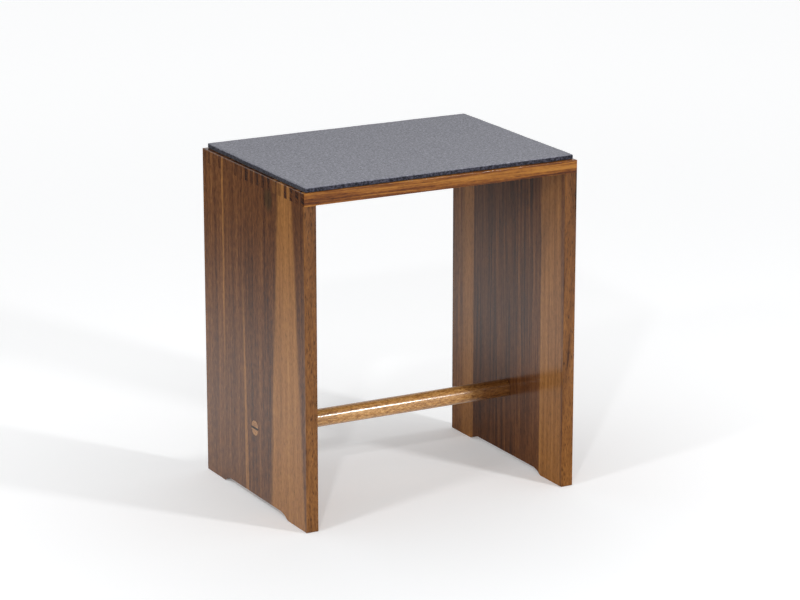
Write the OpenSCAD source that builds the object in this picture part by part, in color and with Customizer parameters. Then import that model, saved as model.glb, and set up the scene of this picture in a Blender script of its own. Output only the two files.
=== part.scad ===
// A box-shaped stool. A seat board and two side boards meet at the corners in
// finger joints, each board is glued up from staves, a round crossbar ties the
// sides together with wedged through tenons, and a felt pad lies on the seat.
// Millimetres. +X runs along the seat, +Y to the back and +Z up, and the origin
// is the middle of the footprint, on the floor.

/* [Stool] */
// Length over the outer faces of the two sides
length = 395; // [320:1:500]
// Depth from the front edge to the back edge
depth = 295; // [250:1:360]
// Height of the wooden stool without its pad
height = 443; // [380:1:500]
// Thickness of the seat board and of the side boards
board = 17; // [14:0.5:20]
// Staves glued edge to edge in each board, an odd number
stave_count = 5; // [3:2:7]
// Rounding of the long arrises
arris_r = 1; // [0.5:0.25:1.5]

/* [Finger joints] */
// Fingers along one corner, counting both boards, an odd number
finger_count = 37; // [19:2:41]

/* [Feet] */
// Length of each foot along the depth
foot_len = 50; // [40:1:60]
// Height of the recess between the feet
recess_h = 7.5; // [4:0.5:10]
// Radius where the recess meets its level top
recess_r = 31; // [20:1:40]
// Radius where a foot turns up into the recess
heel_r = 14; // [10:1:20]
// Rounding of each foot's front or back bottom corner
toe_r = 2; // [1.5:0.25:4]

/* [Crossbar] */
// Diameter of the bar between the sides
bar_d = 24; // [22:0.5:30]
// Height of the bar's axis above the floor
bar_z = 99; // [80:1:200]
// Diameter of the tenon holes through the sides
tenon_d = 20; // [14:0.5:21]
// Glue line around a tenon, on the radius
glue_gap = 0.05; // [0.02:0.01:0.1]
// Thickness of a wedge at the outer face
wedge_t = 3; // [2:0.25:4]
// Thickness of the saw kerf at its bottom
kerf_t = 1.2; // [1:0.1:1.8]
// Depth of the saw kerf in a tenon
kerf_len = 13; // [8:0.5:13.5]
// Length of a wedge, which stops short of the bottom of its kerf
wedge_len = 12; // [6:0.5:12]

/* [Seat pad] */
// Thickness of the felt
pad_t = 6.5; // [3:0.5:8]
// Distance from the seat's ends to the pad
pad_end_gap = 3; // [2:0.5:12]
// Distance from the seat's front and back edges to the pad
pad_side_gap = 2.5; // [2:0.5:12]
// Corner radius of the pad
pad_r = 2; // [1:0.5:6]

/* [Hidden] */
finger_w = depth / finger_count;
stave_w = depth / stave_count;
inner_x = length / 2 - board;
seat_z = height - board;
tenon_r = tenon_d / 2 - glue_gap;
// The recess leaves a foot at heel_y, changes from one arc to the other at
// bend_y and bend_z, and reaches its level top at level_y
heel_y = depth / 2 - foot_len;
bend_cos = 1 - recess_h / (heel_r + recess_r);
bend_sin = sqrt(1 - bend_cos * bend_cos);
bend_y = heel_y - heel_r * bend_sin;
bend_z = heel_r * (1 - bend_cos);
level_y = bend_y - recess_r * bend_sin;
// Waste is drawn this far past the wood that it takes away
past = 5;
$fn = 96;

SIDE_STAVES = [for (s = ["left", "right"]) for (i = [1:stave_count]) str(s, "_side_stave_", i)];
SEAT_STAVES = [for (i = [1:stave_count]) str("seat_stave_", i)];

// Extrusions centred on the origin. Along X an outline's own x and y become Y
// and Z, and along Y they become X and Z
module along_x(run) {
    rotate([90, 0, 90]) linear_extrude(run, center = true) children();
}

module along_y(run) {
    rotate([90, 0, 0]) linear_extrude(run, center = true) children();
}

// What rounding takes off a square corner at the origin that points to +x, +y.
// A negative a or b turns the corner to -x or -y
module corner_waste(a, b, r) {
    mirror([a < 0 ? 1 : 0, 0]) mirror([0, b < 0 ? 1 : 0]) translate([-r, -r]) difference() {
        square(2 * r);
        circle(r);
    }
}

// Everything that easing takes off the glued-up stool
module arris_waste() {
    for (b = [-1, 1]) {
        translate([0, b * depth / 2, height]) along_x(length + past)
            corner_waste(b, 1, arris_r);
        translate([0, b * depth / 2, seat_z]) along_x(2 * inner_x)
            corner_waste(b, -1, arris_r);
        translate([0, b * depth / 2, 0]) along_x(length + past)
            corner_waste(b, -1, toe_r);
    }
    for (a = [-1, 1]) {
        translate([a * length / 2, 0, height]) along_y(depth + past)
            corner_waste(a, 1, arris_r);
        translate([a * length / 2, 0, 0]) along_y(depth + past)
            corner_waste(a, -1, arris_r);
        translate([a * inner_x, 0, 0]) along_y(depth + past)
            corner_waste(-a, -1, arris_r);
        for (b = [-1, 1]) {
            translate([a * length / 2, b * depth / 2, -past]) linear_extrude(height + 2 * past)
                corner_waste(a, b, arris_r);
            translate([a * inner_x, b * depth / 2, -past]) linear_extrude(seat_z + past)
                corner_waste(-a, b, arris_r);
        }
    }
}

// The slabs that the side boards' fingers fill, across the whole stool. The
// seat's fingers fill the spaces between them and both ends
module side_finger_slabs() {
    for (k = [1:2:finger_count - 2])
        translate([-length, k * finger_w - depth / 2, seat_z - past])
            cube([2 * length, finger_w, board + 2 * past]);
}

// The band of stave i, counted from the front
module stave_band(i) {
    translate([-length, (i - 1) * stave_w - depth / 2, -past])
        cube([2 * length, stave_w, height + 2 * past]);
}

// Half of the recess between the feet, seen along X, for y above 0
module half_recess() {
    translate([0, -past]) square([level_y, recess_h + past]);
    intersection() {
        translate([level_y, recess_h - recess_r]) circle(recess_r);
        translate([level_y, -past]) square([bend_y - level_y, recess_h + past]);
    }
    difference() {
        translate([bend_y, -past]) square([heel_y - bend_y, bend_z + past]);
        translate([heel_y, heel_r]) circle(heel_r);
    }
}

module side_outline() {
    difference() {
        translate([-depth / 2, 0]) square([depth, height]);
        half_recess();
        mirror([1, 0]) half_recess();
    }
}

// The side board at +X, all its staves in one
module side_board() {
    difference() {
        translate([length / 2 - board / 2, 0, 0]) along_x(board) side_outline();
        difference() {
            translate([0, -depth, seat_z]) cube([length, 2 * depth, board + past]);
            side_finger_slabs();
        }
        translate([0, 0, bar_z]) rotate([0, 90, 0]) cylinder(h = length, d = tenon_d);
        arris_waste();
    }
}

module seat_board() {
    difference() {
        translate([-length / 2, -depth / 2, seat_z]) cube([length, depth, board]);
        difference() {
            side_finger_slabs();
            translate([-inner_x, -depth, 0]) cube([2 * inner_x, 2 * depth, 2 * height]);
        }
        arris_waste();
    }
}

module side_stave(i) {
    intersection() {
        side_board();
        stave_band(i);
    }
}

module left_side_stave(i) {
    color(i == 1 || i == 2 ? "peru" : "saddlebrown") mirror([1, 0, 0]) side_stave(i);
}

module right_side_stave(i) {
    color(i == 1 || i == stave_count ? "peru" : "saddlebrown") side_stave(i);
}

module seat_stave(i) {
    color(i % 2 == 1 ? "sienna" : "saddlebrown") intersection() {
        seat_board();
        stave_band(i);
    }
}

// The taper that a kerf or a wedge fills at the end at +X, down to the depth
// run below the outer face
module taper(run) {
    half = wedge_t / 2;
    half_end = half - (wedge_t - kerf_t) / 2 * run / kerf_len;
    polygon([
        [length / 2, -half],
        [length / 2, half],
        [length / 2 - run, half_end],
        [length / 2 - run, -half_end],
    ]);
}

// The kerf's taper, carried on past the outer face
module kerf() {
    taper(kerf_len);
    translate([length / 2, -wedge_t / 2]) square([past, wedge_t]);
}

module tenon_rod() {
    translate([-length / 2, 0, bar_z]) rotate([0, 90, 0]) cylinder(h = length, r = tenon_r);
}

module crossbar() {
    color("burlywood") difference() {
        union() {
            translate([-inner_x, 0, bar_z]) rotate([0, 90, 0]) cylinder(h = 2 * inner_x, d = bar_d);
            tenon_rod();
        }
        for (a = [0, 1])
            mirror([a, 0, 0]) translate([0, 0, bar_z]) along_y(2 * tenon_d) kerf();
    }
}

module right_wedge() {
    color("maroon") intersection() {
        translate([0, 0, bar_z]) along_y(2 * tenon_d) taper(wedge_len);
        tenon_rod();
    }
}

module left_wedge() {
    mirror([1, 0, 0]) right_wedge();
}

// A rectangle centred on the origin with round corners
module rounded_rect(w, d, r) {
    square([w - 2 * r, d], center = true);
    square([w, d - 2 * r], center = true);
    for (a = [-1, 1])
        for (b = [-1, 1])
            translate([a * (w / 2 - r), b * (d / 2 - r)]) circle(r);
}

module seat_pad() {
    color("slategray") translate([0, 0, height]) linear_extrude(pad_t)
        rounded_rect(length - 2 * pad_end_gap, depth - 2 * pad_side_gap, pad_r);
}

for (i = [1:stave_count]) {
    left_side_stave(i);
    right_side_stave(i);
    seat_stave(i);
}
crossbar();
left_wedge();
right_wedge();
seat_pad();
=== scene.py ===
"""The looks of a walnut box stool with a felt pad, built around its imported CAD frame.

Lengths in this file are in millimetres unless a name says otherwise, and become metres
through MM. The frame's X runs along the seat, Y to the back and Z up.
"""
import math

import bmesh
import bpy
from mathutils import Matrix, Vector, noise


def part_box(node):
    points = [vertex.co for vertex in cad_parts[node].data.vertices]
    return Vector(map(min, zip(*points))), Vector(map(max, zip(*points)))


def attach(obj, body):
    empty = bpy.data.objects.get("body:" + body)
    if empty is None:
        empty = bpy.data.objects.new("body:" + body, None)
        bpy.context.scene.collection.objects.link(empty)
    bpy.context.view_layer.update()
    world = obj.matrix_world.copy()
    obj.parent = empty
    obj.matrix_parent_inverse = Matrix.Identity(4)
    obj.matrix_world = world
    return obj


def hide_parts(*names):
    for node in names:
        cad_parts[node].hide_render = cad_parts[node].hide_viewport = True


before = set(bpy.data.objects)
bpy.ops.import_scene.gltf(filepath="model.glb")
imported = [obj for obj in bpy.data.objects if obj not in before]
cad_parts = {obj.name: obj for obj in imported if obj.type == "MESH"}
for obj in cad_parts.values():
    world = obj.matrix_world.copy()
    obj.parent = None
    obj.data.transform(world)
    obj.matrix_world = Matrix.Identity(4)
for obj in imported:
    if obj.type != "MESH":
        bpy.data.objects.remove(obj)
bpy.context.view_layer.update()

MM = 0.001
wood_low = Vector(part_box("left_side_stave_1")[0])
wood_high = Vector(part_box("right_side_stave_5")[1])
HEIGHT = wood_high.z / MM
DEPTH = (wood_high.y - wood_low.y) / MM


# ---------------------------------------------------------------- node helpers

# Where the Mix node keeps its two colours and their result
MIX_COLOUR_A = 6
MIX_COLOUR_B = 7
MIX_COLOUR_RESULT = 2


def linear(red, green, blue):
    """An sRGB colour given from 0 to 255, as the linear colour that shaders take."""
    def channel(value):
        value /= 255
        return value / 12.92 if value <= 0.04045 else ((value + 0.055) / 1.055) ** 2.4
    return (channel(red), channel(green), channel(blue), 1.0)


class Graph:
    """A new material's node tree, with a short call for each kind of node."""

    def __init__(self, name):
        self.material = bpy.data.materials.new(name)
        self.material.use_nodes = True
        self.tree = self.material.node_tree
        self.tree.nodes.clear()
        output = self.tree.nodes.new("ShaderNodeOutputMaterial")
        self.shader = self.tree.nodes.new("ShaderNodeBsdfPrincipled")
        self.tree.links.new(self.shader.outputs[0], output.inputs["Surface"])
        self.coordinates = self.tree.nodes.new("ShaderNodeTexCoord")

    def put(self, socket, value):
        """Links value to socket if it is a socket, and otherwise sets it."""
        if isinstance(value, bpy.types.NodeSocket):
            self.tree.links.new(value, socket)
        else:
            socket.default_value = value

    def surface(self, **inputs):
        """Sets the shader's inputs, named with underscores for their spaces."""
        for name, value in inputs.items():
            self.put(self.shader.inputs[name.replace("_", " ")], value)

    def math(self, operation, *values, clamp=False):
        node = self.tree.nodes.new("ShaderNodeMath")
        node.operation = operation
        node.use_clamp = clamp
        for socket, value in zip(node.inputs, values):
            self.put(socket, value)
        return node.outputs[0]

    def add(self, a, b):
        return self.math("ADD", a, b)

    def sub(self, a, b):
        return self.math("SUBTRACT", a, b)

    def mul(self, a, b):
        return self.math("MULTIPLY", a, b)

    def vector(self, x, y, z):
        node = self.tree.nodes.new("ShaderNodeCombineXYZ")
        for socket, value in zip(node.inputs, (x, y, z)):
            self.put(socket, value)
        return node.outputs[0]

    def split(self, vector):
        node = self.tree.nodes.new("ShaderNodeSeparateXYZ")
        self.put(node.inputs[0], vector)
        return node.outputs[0], node.outputs[1], node.outputs[2]

    def place(self):
        """The three coordinates of the point in the row frame, in millimetres."""
        node = self.tree.nodes.new("ShaderNodeVectorMath")
        node.operation = "SCALE"
        self.put(node.inputs[0], self.coordinates.outputs["Object"])
        node.inputs["Scale"].default_value = 1 / MM
        return self.split(node.outputs[0])

    def noise(self, vector, scale=1.0, detail=2.0, roughness=0.5, distortion=0.0):
        node = self.tree.nodes.new("ShaderNodeTexNoise")
        self.put(node.inputs["Vector"], vector)
        node.inputs["Scale"].default_value = scale
        node.inputs["Detail"].default_value = detail
        node.inputs["Roughness"].default_value = roughness
        node.inputs["Distortion"].default_value = distortion
        return node.outputs[0]

    def step(self, value, low, high, to_low=0.0, to_high=1.0):
        """A smooth step from to_low at low to to_high at high."""
        node = self.tree.nodes.new("ShaderNodeMapRange")
        node.interpolation_type = "SMOOTHSTEP"
        for name, given in (("Value", value), ("From Min", low), ("From Max", high),
                            ("To Min", to_low), ("To Max", to_high)):
            self.put(node.inputs[name], given)
        return node.outputs[0]

    def ramp(self, value, stops):
        """A colour ramp through (position, colour) stops."""
        node = self.tree.nodes.new("ShaderNodeValToRGB")
        elements = node.color_ramp.elements
        while len(elements) < len(stops):
            elements.new(1.0)
        for element, (position, colour) in zip(elements, stops):
            element.position = position
            element.color = colour
        self.put(node.inputs[0], value)
        return node.outputs[0]

    def blend(self, factor, a, b, kind="MIX"):
        """Two colours mixed, or combined in another way, by factor."""
        node = self.tree.nodes.new("ShaderNodeMix")
        node.data_type = "RGBA"
        node.blend_type = kind
        self.put(node.inputs["Factor"], factor)
        self.put(node.inputs[MIX_COLOUR_A], a)
        self.put(node.inputs[MIX_COLOUR_B], b)
        return node.outputs[MIX_COLOUR_RESULT]

    def bump(self, height, distance, strength=1.0):
        node = self.tree.nodes.new("ShaderNodeBump")
        node.inputs["Strength"].default_value = strength
        node.inputs["Distance"].default_value = distance * MM
        self.put(node.inputs["Height"], height)
        return node.outputs[0]


# ---------------------------------------------------------------- walnut

# Heartwood from its darkest streak to its lightest, and sapwood the same
HEART = [(0.0, linear(26, 11, 4)), (0.3, linear(60, 31, 13)), (0.55, linear(88, 51, 24)),
         (0.8, linear(114, 71, 36)), (1.0, linear(136, 90, 49))]
SAP = [(0.0, linear(108, 66, 30)), (0.4, linear(138, 91, 45)), (0.7, linear(160, 110, 57)),
       (1.0, linear(182, 131, 74))]
GOLD = [(0.0, linear(84, 42, 13)), (0.35, linear(128, 74, 25)), (0.6, linear(162, 104, 38)),
        (1.0, linear(184, 128, 54))]
KNOT = [(0.35, linear(26, 19, 6)), (0.65, linear(70, 52, 24))]
GRAIN_ALONG_Z = "z"
GRAIN_ALONG_X = "x"
LACQUER_GLOSS = 0.7
LACQUER_ROUGHNESS = 0.18

# Shading fitted to this stage's light. It isn't a property of the wood.
# What the front and back faces are multiplied by at the top of the stool
FRONT_SHADE = linear(212, 206, 200)
FRONT_GLOSS = 0.35
# The height below which low_gloss takes hold
LOW_GLOSS_TOP = 200.0
# The crossbar darkens between the first two places along X, and the shade ends between the
# last two, inside the right board, so the tenon's end keeps its own colour
BAR_SHADE = linear(160, 142, 126)
BAR_SHADE_STARTS = (85.0, 150.0)
BAR_SHADE_ENDS = (186.0, 181.0)


def wood_axes(g, grain):
    """The point along the grain, across the stave and through its thickness."""
    x, y, z = g.place()
    return (z, y, x) if grain == GRAIN_ALONG_Z else (x, y, z)


def band(low, high, soft=(5.0, 5.0), share=1.0, fade=None):
    """A stretch of paler wood between two lines. low and high are each line's distance from
    the board's back edge at the along axis' 0 and at the board's far end, and soft is how
    gradually the wood changes at each line. fade is where along the grain the band starts to
    show and where it shows in full."""
    return dict(low=low, high=high, soft=soft, share=share, fade=fade)


def paleness(g, bands, from_back, along, wander):
    """How far the point is into a board's bands of paler wood, from 0 to 1."""
    def past(line, soft, sign):
        at = g.add(g.mul(along, (line[1] - line[0]) / HEIGHT), line[0])
        return g.step(g.mul(g.add(g.sub(from_back, at), wander), sign), -soft, soft)
    total = 0.0
    for one in bands:
        mask = g.mul(past(one["low"], one["soft"][0], 1), past(one["high"], one["soft"][1], -1))
        if one["fade"]:
            mask = g.mul(mask, g.step(along, *one["fade"]))
        total = g.math("MAXIMUM", total, g.mul(mask, one["share"]))
    return total


def walnut(name, grain, bands, seed, tone, contrast=1.0, ring=9.0, pith=(400.0, 60.0),
           tilt=0.0, wave=3.0, end_dark=0.5, sap=SAP, knot=None, edge_pore=0.75, fleck=1.05,
           low_gloss=1.0):
    """Lacquered walnut. pith is where the tree's centre lies, in millimetres across the stave
    and through its thickness: far across for straight grain, behind the face for flames.
    knot is a knot's distance from the board's back edge, its height, and half its width and
    height. low_gloss is how much of the lacquer's gloss is left at the floor."""
    g = Graph(name)
    along, across, through = wood_axes(g, grain)
    from_back = g.sub(DEPTH / 2, across)
    drift = g.noise(g.vector(g.mul(along, 1 / 210), g.add(g.mul(across, 1 / 45), seed),
                             g.mul(through, 1 / 45)), detail=2.0)
    ripple = g.noise(g.vector(g.mul(along, 1 / 38), g.add(g.mul(across, 1 / 14), seed),
                              g.mul(through, 1 / 14)), detail=1.0)
    wander = g.add(g.mul(g.sub(drift, 0.5), 2 * wave), g.mul(g.sub(ripple, 0.5), 0.35 * wave))
    side = g.sub(g.add(g.sub(across, pith[0]), wander), g.mul(along, tilt))
    radius = g.math("SQRT", g.add(g.math("POWER", side, 2.0),
                                  g.math("POWER", g.sub(through, pith[1]), 2.0)))
    rings = g.noise(g.vector(g.mul(radius, 1 / ring), g.mul(along, 1 / 500), seed),
                    detail=2.0, roughness=0.5)
    streaks = g.noise(g.vector(g.mul(radius, 3.1 / ring), g.mul(along, 1 / 120), seed + 7.0),
                      detail=3.0, roughness=0.6)
    dashes = g.noise(g.vector(g.mul(side, 0.36), g.mul(along, 1 / 11),
                              g.add(g.mul(through, 0.36), seed)), detail=3.0, roughness=0.7)
    pores = g.noise(g.vector(g.mul(along, 1 / 7), g.mul(across, 1.3),
                             g.add(g.mul(through, 1.3), seed)), detail=1.0)
    figure = g.add(g.mul(g.sub(rings, 0.5), 0.9 * contrast),
                   g.add(g.mul(g.sub(streaks, 0.5), 0.9 * contrast),
                         g.mul(g.sub(dashes, 0.5), fleck)))
    pale = paleness(g, bands, from_back, along, g.mul(g.sub(streaks, 0.5), 9.0))
    wood = g.blend(pale, g.ramp(g.math("ADD", figure, tone, clamp=True), HEART),
                   g.ramp(g.math("ADD", g.mul(figure, 0.8), 0.5, clamp=True), sap))
    if knot:
        aside = g.math("POWER", g.mul(g.sub(from_back, knot[0]), 1 / knot[2]), 2.0)
        away = g.math("POWER", g.mul(g.sub(along, knot[1]), 1 / knot[3]), 2.0)
        near = g.step(g.add(g.add(aside, away), g.mul(g.sub(ripple, 0.5), 1.2)), 1.3, 0.1)
        wood = g.blend(g.mul(near, 0.75), wood, g.ramp(streaks, KNOT))
    normal = g.split(g.coordinates.outputs["Normal"])
    pore = g.step(pores, 0.55, 0.7)
    edge = g.step(g.math("ABSOLUTE", normal[1]), 0.5, 0.9, 0.42, edge_pore)
    wood = g.blend(g.mul(pore, edge), wood, linear(60, 34, 20), "MULTIPLY")
    facing = g.math("ABSOLUTE", normal[2] if grain == GRAIN_ALONG_Z else normal[0])
    wood = g.blend(g.mul(g.step(facing, 0.55, 0.9), end_dark), wood, linear(90, 56, 38), "MULTIPLY")
    # Painted shade: the front and back faces are darkened more the higher they are, up to FRONT_SHADE
    # at the top of the stool
    front = g.step(g.math("ABSOLUTE", normal[1]), 0.6, 0.9)
    height = g.place()[2]
    shade = g.ramp(g.step(height, 0.0, HEIGHT), [(0.0, linear(255, 255, 255)), (1.0, FRONT_SHADE)])
    wood = g.blend(front, wood, shade, "MULTIPLY")
    gloss = g.mul(g.step(front, 0.0, 1.0, LACQUER_GLOSS, FRONT_GLOSS),
                  g.step(height, 0.0, LOW_GLOSS_TOP, low_gloss, 1.0))
    relief = g.sub(g.mul(streaks, 0.4), pore)
    g.surface(Base_Color=wood, Roughness=g.step(pore, 0.0, 1.0, 0.5, 0.6),
              Specular_IOR_Level=0.03, Coat_Weight=gloss, Coat_Roughness=LACQUER_ROUGHNESS,
              Normal=g.bump(relief, 0.02, 0.5))
    return g.material


def pale_hardwood(name, seed):
    """The crossbar's golden wood, flecked with short pores."""
    g = Graph(name)
    along, across, through = wood_axes(g, GRAIN_ALONG_X)
    drift = g.noise(g.vector(g.mul(along, 1 / 120), g.mul(across, 1 / 14), g.mul(through, 1 / 14)),
                    detail=2.0)
    rings = g.noise(g.vector(g.add(g.mul(across, 1 / 3.0), g.mul(drift, 2.5)),
                             g.mul(along, 1 / 170), g.add(g.mul(through, 1 / 7), seed)),
                    detail=3.0, roughness=0.6)
    flecks = g.noise(g.vector(g.mul(along, 1 / 5), g.mul(across, 0.55), g.mul(through, 0.55)),
                     detail=2.0, roughness=0.7)
    tone = g.add(g.mul(rings, 0.55), g.mul(flecks, 1.4))
    wood = g.ramp(g.sub(tone, 0.5), [(0.15, linear(104, 66, 28)), (0.4, linear(158, 110, 56)),
                                      (0.6, linear(188, 140, 80)), (0.85, linear(214, 172, 112))])
    normal = g.split(g.coordinates.outputs["Normal"])
    end_grain = g.step(g.math("ABSOLUTE", normal[0]), 0.6, 0.9)
    wood = g.blend(g.mul(end_grain, 0.5), wood, linear(190, 155, 100), "MULTIPLY")
    # Painted shadow: the crossbar's right end darkens where the right board shades it, and the shadow
    # stops short of the tenon's end
    shaded = g.mul(g.step(along, *BAR_SHADE_STARTS), g.step(along, *BAR_SHADE_ENDS))
    wood = g.blend(shaded, wood, BAR_SHADE, "MULTIPLY")
    g.surface(Base_Color=wood, Roughness=g.step(flecks, 0.3, 0.7, 0.42, 0.3),
              Specular_IOR_Level=0.3, Coat_Weight=g.step(end_grain, 0.0, 1.0, 0.8, 0.35),
              Coat_Roughness=0.14,
              Normal=g.bump(g.add(flecks, g.mul(rings, 0.5)), 0.05, 0.6))
    return g.material


def dark_hardwood(name, seed):
    """A wedge's near-black wood."""
    g = Graph(name)
    along, across, through = wood_axes(g, GRAIN_ALONG_X)
    grain = g.noise(g.vector(g.mul(along, 1 / 12), g.mul(across, 0.8),
                             g.add(g.mul(through, 1.4), seed)), detail=3.0)
    wood = g.ramp(grain, [(0.3, linear(20, 11, 7)), (0.55, linear(34, 20, 13)),
                          (0.8, linear(56, 35, 24))])
    g.surface(Base_Color=wood, Roughness=g.step(grain, 0.3, 0.7, 0.45, 0.35),
              Specular_IOR_Level=0.1, Coat_Weight=0.3, Coat_Roughness=LACQUER_ROUGHNESS,
              Normal=g.bump(grain, 0.03))
    return g.material


# Paler wood in each board
LEFT_BANDS = [
    band((193, 221), (291, 258), (6, 5)),
    band((56, 57.5), (61.5, 62.5), (1.2, 1.2), 0.95, (100, 260)),
    band((119.5, 111.5), (128, 114), (1.4, 1.4), 0.9, (340, 170)),
    band((293.6, 293.6), (320, 320), (0.5, 1), 0.4),
]
RIGHT_BANDS = [
    band((24, 32), (58.8, 58.8), (6, 0.4), 0.85),
    band((236.0, 236.0), (291, 284), (0.4, 3), 0.9),
    band((293.6, 293.6), (320, 320), (0.5, 1), 0.5),
]
SEAT_BANDS = [
    band((86, 86), (59, 59), (3, 0.4), 0.7),
    band((200, 200), (320, 320), (2, 1), 0.85),
]
# Each board's staves from the front to the back
LEFT_STAVES = [
    dict(seed=11.0, tone=0.52, contrast=0.9, ring=8.0),
    dict(seed=23.0, tone=0.54, contrast=0.9, ring=10.0, knot=(194.0, 414.0, 13.0, 17.0)),
    dict(seed=35.0, tone=0.61, contrast=0.9, ring=9.0),
    dict(seed=47.0, tone=0.64, contrast=0.75, ring=10.0),
    dict(seed=59.0, tone=0.68, contrast=0.75, ring=11.0),
]
RIGHT_STAVES = [
    dict(seed=74.0, tone=0.58, contrast=1.2, ring=7.0, fleck=0.6, low_gloss=0.2),
    dict(seed=83.0, tone=0.56, contrast=1.5, ring=7.0, tilt=0.02, fleck=0.5, low_gloss=0.2),
    dict(seed=95.0, tone=0.48, contrast=1.3, ring=7.0, tilt=0.02, fleck=0.5, low_gloss=0.2),
    dict(seed=107.0, tone=0.47, contrast=1.0, ring=9.0, fleck=0.5, low_gloss=0.2),
    dict(seed=119.0, tone=0.76, contrast=0.9, ring=10.0, fleck=0.6, low_gloss=0.2),
]
SEAT_STAVES = [
    dict(seed=131.0, tone=0.7, contrast=3.2, ring=9.0, pith=(-300.0, 1100.0), sap=GOLD, end_dark=0.85,
         edge_pore=0.3),
    dict(seed=143.0, tone=0.44, ring=9.0, pith=(300.0, 300.0), end_dark=0.5),
    dict(seed=155.0, tone=0.46, ring=10.0, pith=(300.0, 360.0), end_dark=0.55),
    dict(seed=167.0, tone=0.60, ring=9.0, pith=(300.0, 330.0), end_dark=0.2),
    dict(seed=179.0, tone=0.62, ring=8.0, pith=(300.0, 380.0), end_dark=0.2),
]


def dress_wood():
    """Gives every CAD node of wood its own material."""
    boards = [("left_side_stave_", LEFT_STAVES, LEFT_BANDS, GRAIN_ALONG_Z),
              ("right_side_stave_", RIGHT_STAVES, RIGHT_BANDS, GRAIN_ALONG_Z),
              ("seat_stave_", SEAT_STAVES, SEAT_BANDS, GRAIN_ALONG_X)]
    looks = {}
    for prefix, staves, bands, grain in boards:
        for number, look in enumerate(staves, 1):
            name = f"{prefix}{number}"
            looks[name] = walnut(f"walnut_{name}", grain, bands, **look)
    looks["crossbar"] = pale_hardwood("pale_hardwood_crossbar", 5.0)
    looks["left_wedge"] = dark_hardwood("dark_hardwood_left_wedge", 3.0)
    looks["right_wedge"] = dark_hardwood("dark_hardwood_right_wedge", 8.0)
    for name, material in looks.items():
        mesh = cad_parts[name].data
        mesh.materials.clear()
        mesh.materials.append(material)


# ---------------------------------------------------------------- felt pad

FELT_STEP = 2.0
FELT_LAYERS = 5
FELT_EDGE_R = 1.3
# How much further than its CAD solid the pad reaches on each side, and how far it is moved
FELT_GROWTH = Vector((0.2, 0.3, 0.0))
FELT_SHIFT = Vector((1.4, 0.9, 0.05))
# How far in from the cut edge the felt is uneven
FELT_UNEVEN = 12.0
# How far the cut wanders, its fibres stray, the top swells and the underside lifts
FELT_WANDER = 0.9
FELT_FRAY = 0.22
FELT_SWELL = 0.28
FELT_LIFT = 0.35
# The pad is cut a little out of square
FELT_SKEW = (0.0115, 0.0095)
# How far apart in the noise the fray's three directions are taken
FRAY_APART = [Vector((0.0, 0.0, 0.0)), Vector((41.0, 17.0, 5.0)), Vector((13.0, 59.0, 29.0))]


def felt(name):
    """Dense grey wool felt: light loose fibres over a darker body. Its darker cut sides are partly the
    felt's own, partly painted sheen on the top.
    """
    g = Graph(name)
    x, y, z = g.place()
    point = g.vector(x, y, z)
    clumps = g.noise(point, 0.22, detail=3.0, roughness=0.6)
    mottle = g.noise(point, 0.36, detail=2.0, roughness=0.7)
    fibres = g.noise(g.vector(g.add(g.mul(x, 1.3), g.mul(y, 0.3)), g.mul(y, 0.8), z), 0.7,
                     detail=3.0, roughness=0.7, distortion=1.2)
    tone = g.add(g.mul(clumps, 0.2), g.add(g.mul(mottle, 0.6), g.mul(fibres, 0.7)))
    colour = g.ramp(g.sub(tone, 0.25), [(0.2, linear(62, 63, 72)), (0.5, linear(118, 119, 129)),
                                        (0.75, linear(168, 169, 179))])
    # The cut sides are darkened against the top: partly the cut felt's own darker body, partly painted
    # sheen that keeps the top lighter, as felt catches light at a low angle
    up = g.split(g.coordinates.outputs["Normal"])[2]
    cut = g.step(up, 0.75, 0.2)
    colour = g.blend(cut, colour, linear(122, 121, 131), "MULTIPLY")
    colour = g.blend(g.mul(cut, g.step(mottle, 0.56, 0.44)), colour, linear(146, 146, 150), "MULTIPLY")
    g.surface(Base_Color=colour, Roughness=g.step(fibres, 0.3, 0.7, 0.98, 0.86),
              Specular_IOR_Level=0.1, Sheen_Weight=0.12, Sheen_Roughness=0.5,
              Normal=g.bump(g.add(g.mul(fibres, 0.6), mottle), 0.35, 0.8))
    return g.material


def slab_points(counts):
    """The lattice points on the surface of a box of cells, as whole numbers."""
    nx, ny, nz = counts
    return [(i, j, k) for i in range(nx + 1) for j in range(ny + 1) for k in range(nz + 1)
            if i in (0, nx) or j in (0, ny) or k in (0, nz)]


def slab_faces(counts):
    """The outward quads of that surface, as lattice points."""
    nx, ny, nz = counts
    for i in range(nx):
        for j in range(ny):
            corners = [(i, j), (i + 1, j), (i + 1, j + 1), (i, j + 1)]
            yield [(a, b, nz) for a, b in corners]
            yield [(a, b, 0) for a, b in reversed(corners)]
    for i in range(nx):
        for k in range(nz):
            corners = [(i, k), (i + 1, k), (i + 1, k + 1), (i, k + 1)]
            yield [(a, 0, b) for a, b in corners]
            yield [(a, ny, b) for a, b in reversed(corners)]
    for j in range(ny):
        for k in range(nz):
            corners = [(j, k), (j + 1, k), (j + 1, k + 1), (j, k + 1)]
            yield [(nx, a, b) for a, b in corners]
            yield [(0, a, b) for a, b in reversed(corners)]


def rounded(point, half, radius):
    """A point of a box's surface, moved onto the same box with round edges."""
    core = Vector([max(-h + radius, min(h - radius, p)) for p, h in zip(point, half)])
    out = point - core
    return core + out.normalized() * radius if out.length > 0 else point


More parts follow.
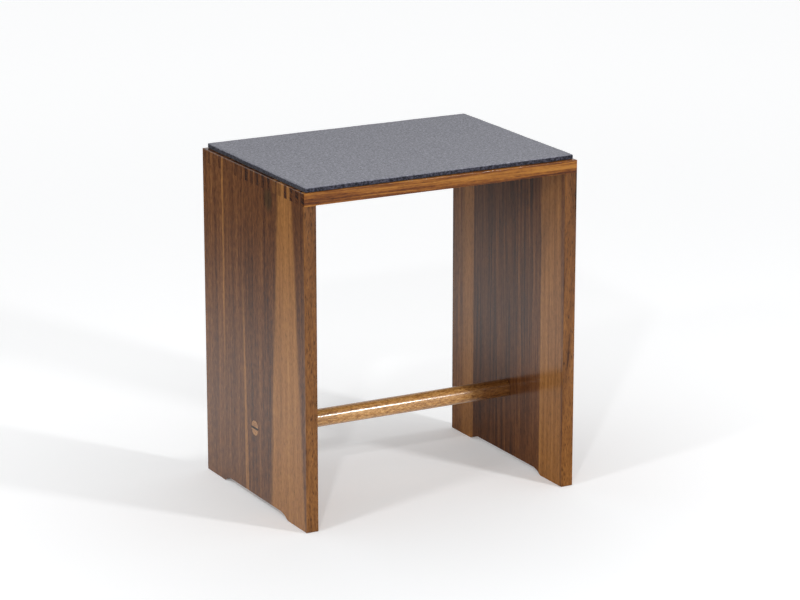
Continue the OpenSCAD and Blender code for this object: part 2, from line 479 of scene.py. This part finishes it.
def felt_point(point, half):
    """A point of the round-edged slab, moved as a cut piece of felt wanders and lies."""
    x, y, z = point
    edge = 1 - min(half.x - abs(x), half.y - abs(y), FELT_UNEVEN) / FELT_UNEVEN
    wander = Vector((noise.noise(Vector((x / 45, y / 45, 3.0))),
                     noise.noise(Vector((x / 38, y / 60, 9.0))), 0.0)) * FELT_WANDER * edge
    fine = Vector((x / 1.7, y / 1.7, z / 1.3))
    fray = Vector([noise.noise(fine + apart) for apart in FRAY_APART]) * FELT_FRAY * edge
    swell = noise.noise(Vector((x / 55, y / 55, 17.0))) * FELT_SWELL
    top = (z + half.z) / (2 * half.z)
    rise = max(0.0, noise.noise(Vector((x / 30, y / 30, 31.0))))
    lift = rise * FELT_LIFT * edge ** 3 * (1 - top)
    moved = point + wander + fray
    moved.z = max(z + swell * top + lift + fray.z * top, -half.z)
    return moved


def make_felt_pad():
    """The felt pad, as a fine closed slab that stands for the pad's CAD solid."""
    low, high = (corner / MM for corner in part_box("seat_pad"))
    half = (high - low) / 2 + FELT_GROWTH
    centre = (high + low) / 2 + FELT_SHIFT
    counts = [round(2 * half.x / FELT_STEP), round(2 * half.y / FELT_STEP), FELT_LAYERS]
    mesh = bmesh.new()
    corners = {}
    for lattice in slab_points(counts):
        flat = Vector([(2 * n / count - 1) * h for n, count, h in zip(lattice, counts, half)])
        place = felt_point(rounded(flat, half, FELT_EDGE_R), half)
        place += centre + Vector((place.y * FELT_SKEW[0], place.x * FELT_SKEW[1], 0.0))
        corners[lattice] = mesh.verts.new(place * MM)
    for face in slab_faces(counts):
        mesh.faces.new([corners[lattice] for lattice in face]).smooth = True
    data = bpy.data.meshes.new("felt_pad")
    mesh.to_mesh(data)
    mesh.free()
    pad = bpy.data.objects.new("felt_pad", data)
    bpy.context.scene.collection.objects.link(pad)
    data.materials.append(felt("grey_felt"))
    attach(pad, "pad")
    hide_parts("seat_pad")


# ---------------------------------------------------------------- stage

# Places and distances of the stage are in metres
CAMERA_AIM = Vector((0.01735, 0.0, 0.24341))
CAMERA_AZIMUTH = -118.564
CAMERA_ELEVATION = 15.455
CAMERA_DISTANCE = 4.0397
LIGHT_AIM = Vector((0, 0, 0.22))
# Each light's name, place, width and power
LIGHTS = [
    ("key", (0.8, -1.45, 0.93), 0.15, 13.5),
    ("left_light", (-1.14, -0.46, 1.2), 0.14, 4.6),
    ("front_light", (-1.45, -2.07, 1.7), 0.1, 14.0),
]
WHITE = (1.0, 1.0, 1.0, 1.0)


def direction(azimuth, elevation):
    """The unit vector at an azimuth counted from +X towards +Y and an elevation, in degrees."""
    a, e = math.radians(azimuth), math.radians(elevation)
    return Vector((math.cos(a) * math.cos(e), math.sin(a) * math.cos(e), math.sin(e)))


def make_camera():
    """A long lens a little above the seat, looking at the stool's left front corner."""
    data = bpy.data.cameras.new("camera")
    data.sensor_width = 36.0
    data.lens = 137.7
    data.clip_end = 100.0
    camera = bpy.data.objects.new("camera", data)
    bpy.context.scene.collection.objects.link(camera)
    back = direction(CAMERA_AZIMUTH, CAMERA_ELEVATION)
    camera.location = CAMERA_AIM + back * CAMERA_DISTANCE
    camera.rotation_mode = "QUATERNION"
    camera.rotation_quaternion = (-back).to_track_quat("-Z", "Y")
    bpy.context.scene.camera = camera


def make_light(name, place, size, watts):
    """A square light at a place, aimed at the middle of the stool."""
    data = bpy.data.lights.new(name, "AREA")
    data.size = size
    data.energy = watts
    light = bpy.data.objects.new(name, data)
    bpy.context.scene.collection.objects.link(light)
    light.location = place
    light.rotation_mode = "QUATERNION"
    light.rotation_quaternion = (Vector(place) - LIGHT_AIM).to_track_quat("Z", "Y")


def make_floor():
    """A wide seamless pale floor. It gives off some light, fitted to the studio's, that grows
    from a spot in front of the stool outwards."""
    g = Graph("studio_floor")
    x, y, _ = g.split(g.coordinates.outputs["Object"])
    far = g.math("SQRT", g.add(g.math("POWER", g.add(x, 0.1), 2.0),
                               g.math("POWER", g.add(y, 0.45), 2.0)))
    glow = g.add(g.step(far, 0.1, 1.2, 0.085, 0.38), g.step(far, 1.0, 3.5, 0.0, 0.09))
    g.surface(Base_Color=(0.86, 0.87, 0.88, 1.0), Roughness=0.9, Specular_IOR_Level=0.1,
              Emission_Color=WHITE, Emission_Strength=glow)
    mesh = bmesh.new()
    bmesh.ops.create_circle(mesh, cap_ends=True, radius=60.0, segments=96)
    data = bpy.data.meshes.new("studio_floor")
    mesh.to_mesh(data)
    mesh.free()
    data.materials.append(g.material)
    floor = bpy.data.objects.new("studio_floor", data)
    bpy.context.scene.collection.objects.link(floor)


def make_dim_side():
    """A sheet of painted shade for the dim studio beyond the floor's lit part, past the left of the
    picture: dark far out, with a painted glow where it meets the floor.
    The camera doesn't see it, but the lacquer does, so the left faces grow clearer towards the top."""
    g = Graph("dim_side")
    far = g.split(g.coordinates.outputs["Object"])[0]
    shade = g.ramp(g.step(far, 0.0, 0.9), [(0.0, (0.92, 0.92, 0.92, 1.0)),
                                           (1.0, (0.1, 0.1, 0.1, 1.0))])
    back = g.tree.nodes.new("ShaderNodeNewGeometry").outputs["Backfacing"]
    g.surface(Base_Color=shade, Roughness=0.9, Specular_IOR_Level=0.0, Alpha=g.sub(1.0, back),
              Emission_Color=WHITE, Emission_Strength=g.step(far, 0.0, 0.9, 0.25, 0.0))
    mesh = bmesh.new()
    for x, y in ((0, -3), (6, -3), (6, 8), (0, 8)):
        mesh.verts.new((x, y, 0.0))
    mesh.faces.new(mesh.verts)
    data = bpy.data.meshes.new("dim_side")
    mesh.to_mesh(data)
    mesh.free()
    data.materials.append(g.material)
    side = bpy.data.objects.new("dim_side", data)
    bpy.context.scene.collection.objects.link(side)
    side.location = (-0.625, -0.18, 0.001)
    side.rotation_euler = (0.0, 0.0, math.radians(158.6))
    side.visible_camera = False
    side.visible_shadow = False


def make_world():
    """Soft light from all round, brighter near the horizon than overhead."""
    world = bpy.data.worlds.new("studio_world")
    bpy.context.scene.world = world
    world.use_nodes = True
    tree = world.node_tree
    toward = tree.nodes.new("ShaderNodeSeparateXYZ")
    tree.links.new(tree.nodes.new("ShaderNodeTexCoord").outputs["Generated"], toward.inputs[0])
    glow = tree.nodes.new("ShaderNodeMapRange")
    glow.interpolation_type = "SMOOTHERSTEP"
    tree.links.new(toward.outputs[2], glow.inputs["Value"])
    for name, value in (("From Min", 0.0), ("From Max", 0.9), ("To Min", 1.1), ("To Max", 0.38)):
        glow.inputs[name].default_value = value
    background = tree.nodes["Background"]
    background.inputs["Color"].default_value = WHITE
    tree.links.new(glow.outputs[0], background.inputs["Strength"])


dress_wood()
make_felt_pad()
make_camera()
make_floor()
make_world()
make_dim_side()
for light in LIGHTS:
    make_light(*light)
bpy.context.scene.view_settings.view_transform = "Standard"
